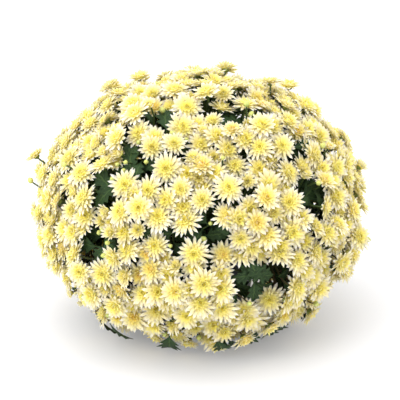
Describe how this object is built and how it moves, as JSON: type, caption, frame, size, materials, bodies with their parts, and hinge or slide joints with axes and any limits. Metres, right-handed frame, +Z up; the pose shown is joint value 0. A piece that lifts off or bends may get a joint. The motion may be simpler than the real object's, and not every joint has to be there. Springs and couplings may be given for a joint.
{
  "type": "potted chrysanthemum",
  "caption": "Ball-shaped garden chrysanthemum in a plain round pot: forked leafy shoots rise from the soil and end in sprays of cream blooms that hide the pot.",
  "frame": {"origin": "centre of the pot's base, on the surface that the pot stands on", "axes": "+Z up along the pot's axis; the picture looks along +Y, with +X to its right"},
  "size_m": [0.4922, 0.4939, 0.3879],
  "materials": {
    "pot": "matt black, as a plain nursery pot",
    "soil": "dark, damp and crumbly",
    "foliage": "matt green, slightly downy",
    "bloom": "matt cream, yellower towards the middle of each bloom"
  },
  "bodies": {
    "root": {"pot": "pot", "soil": "soil", "shoot_01": "foliage", "shoot_02": "foliage", "shoot_03": "foliage", "shoot_04": "foliage", "shoot_05": "foliage", "shoot_06": "foliage", "shoot_07": "foliage", "shoot_08": "foliage", "shoot_09": "foliage", "shoot_10": "foliage", "shoot_11": "foliage", "shoot_12": "foliage", "spray_01": "bloom", "spray_02": "bloom", "spray_03": "bloom", "spray_04": "bloom", "spray_05": "bloom", "spray_06": "bloom", "spray_07": "bloom", "spray_08": "bloom", "spray_09": "bloom", "spray_10": "bloom", "spray_11": "bloom", "spray_12": "bloom", "spray_13": "bloom", "spray_14": "bloom", "spray_15": "bloom", "spray_16": "bloom", "spray_17": "bloom", "spray_18": "bloom", "spray_19": "bloom", "spray_20": "bloom", "spray_21": "bloom", "spray_22": "bloom", "spray_23": "bloom", "spray_24": "bloom", "spray_25": "bloom", "spray_26": "bloom", "spray_27": "bloom", "spray_28": "bloom", "spray_29": "bloom", "spray_30": "bloom", "spray_31": "bloom", "spray_32": "bloom", "spray_33": "bloom", "spray_34": "bloom", "spray_35": "bloom", "spray_36": "bloom"}
  },
  "joints": []
}
